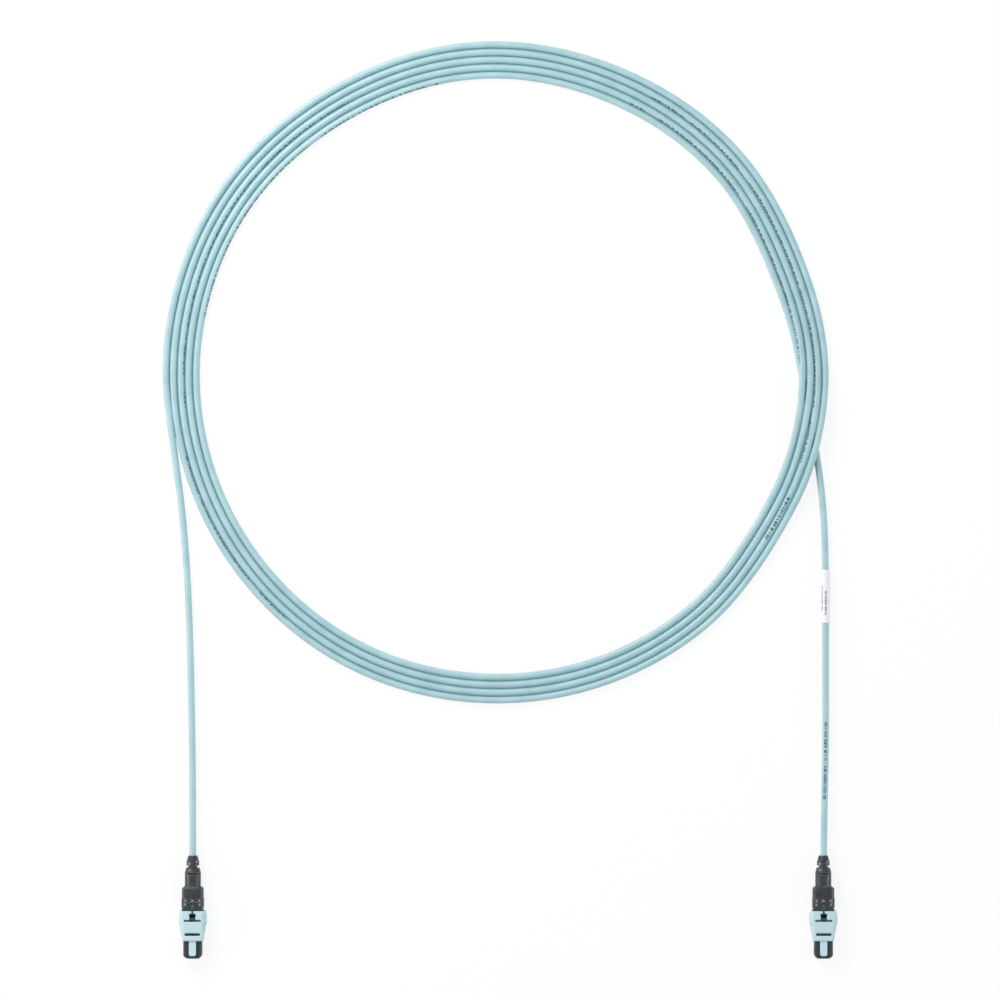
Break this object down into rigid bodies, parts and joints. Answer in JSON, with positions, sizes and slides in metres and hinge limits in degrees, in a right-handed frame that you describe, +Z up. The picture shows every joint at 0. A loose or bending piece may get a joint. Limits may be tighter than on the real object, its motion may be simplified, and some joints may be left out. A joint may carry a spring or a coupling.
{
  "type": "mpo fibre patch cord",
  "caption": "Coiled round multi-fibre patch cord with a push-pull MPO plug on each end: sprung coloured sleeve, floating ferrule, sliding polarity keys and slotted strain relief.",
  "frame": {"origin": "on the surface that the cord lies on, under the middle of the two plugs", "axes": "+Z up, +Y from the plugs towards the coil, +X from plug a towards plug b"},
  "size_m": [0.3517, 0.4771, 0.0098],
  "materials": {
    "housing_black": "satin",
    "sleeve_aqua": "satin",
    "key_aqua": "satin",
    "ferrule_black": "matte",
    "soft_grey": "matte",
    "ribbon_clear": "satin",
    "spring_steel": "satin",
    "crimp_metal": "satin",
    "boot_black": "satin",
    "cord_aqua": "satin",
    "label_white": "matte"
  },
  "bodies": {
    "housings_and_cord": {"front_housing_a": "housing_black", "spring_push_a": "housing_black", "crimp_ring_a": "crimp_metal", "rear_housing_a": "housing_black", "boot_a": "boot_black", "main_spring_a": "spring_steel", "sleeve_spring_left_a": "spring_steel", "sleeve_spring_right_a": "spring_steel", "front_housing_b": "housing_black", "spring_push_b": "housing_black", "crimp_ring_b": "crimp_metal", "rear_housing_b": "housing_black", "boot_b": "boot_black", "main_spring_b": "spring_steel", "sleeve_spring_left_b": "spring_steel", "sleeve_spring_right_b": "spring_steel", "cord_tail_left": "cord_aqua", "cord_coil": "cord_aqua", "cord_tail_right": "cord_aqua", "marker_label": "label_white"},
    "sleeve_body_a": {"outer_sleeve_a": "sleeve_aqua"},
    "ferrule_body_a": {"ferrule_a": "ferrule_black", "ferrule_boot_a": "soft_grey", "pin_keeper_a": "ferrule_black", "fibre_ribbon_a": "ribbon_clear"},
    "key_top_body_a": {"polarity_key_top_a": "key_aqua"},
    "key_bottom_body_a": {"polarity_key_bottom_a": "key_aqua"},
    "sleeve_body_b": {"outer_sleeve_b": "sleeve_aqua"},
    "ferrule_body_b": {"ferrule_b": "ferrule_black", "ferrule_boot_b": "soft_grey", "pin_keeper_b": "ferrule_black", "fibre_ribbon_b": "ribbon_clear"},
    "key_top_body_b": {"polarity_key_top_b": "key_aqua"},
    "key_bottom_body_b": {"polarity_key_bottom_b": "key_aqua"}
  },
  "joints": [
    {"name": "sleeve_pull_a", "type": "slide", "parent": "housings_and_cord", "child": "sleeve_body_a", "axis": [0, 1, 0], "range_m": [0, 0.0018], "stiffness_N_per_m": 1500, "springref_m": -0.0012, "deforming": ["sleeve_spring_left_a", "sleeve_spring_right_a"]},
    {"name": "ferrule_float_a", "type": "slide", "parent": "housings_and_cord", "child": "ferrule_body_a", "axis": [0, 1, 0], "range_m": [0, 0.0006], "stiffness_N_per_m": 4000, "springref_m": -0.002, "deforming": ["main_spring_a"]},
    {"name": "key_top_retract_a", "type": "slide", "parent": "housings_and_cord", "child": "key_top_body_a", "axis": [0, 1, 0], "range_m": [0, 0.008]},
    {"name": "key_bottom_advance_a", "type": "slide", "parent": "housings_and_cord", "child": "key_bottom_body_a", "axis": [0, -1, 0], "range_m": [0, 0.008]},
    {"name": "sleeve_pull_b", "type": "slide", "parent": "housings_and_cord", "child": "sleeve_body_b", "axis": [0, 1, 0], "range_m": [0, 0.0018], "stiffness_N_per_m": 1500, "springref_m": -0.0012, "deforming": ["sleeve_spring_left_b", "sleeve_spring_right_b"]},
    {"name": "ferrule_float_b", "type": "slide", "parent": "housings_and_cord", "child": "ferrule_body_b", "axis": [0, 1, 0], "range_m": [0, 0.0006], "stiffness_N_per_m": 4000, "springref_m": -0.002, "deforming": ["main_spring_b"]},
    {"name": "key_top_retract_b", "type": "slide", "parent": "housings_and_cord", "child": "key_top_body_b", "axis": [0, 1, 0], "range_m": [0, 0.008]},
    {"name": "key_bottom_advance_b", "type": "slide", "parent": "housings_and_cord", "child": "key_bottom_body_b", "axis": [0, -1, 0], "range_m": [0, 0.008]}
  ]
}
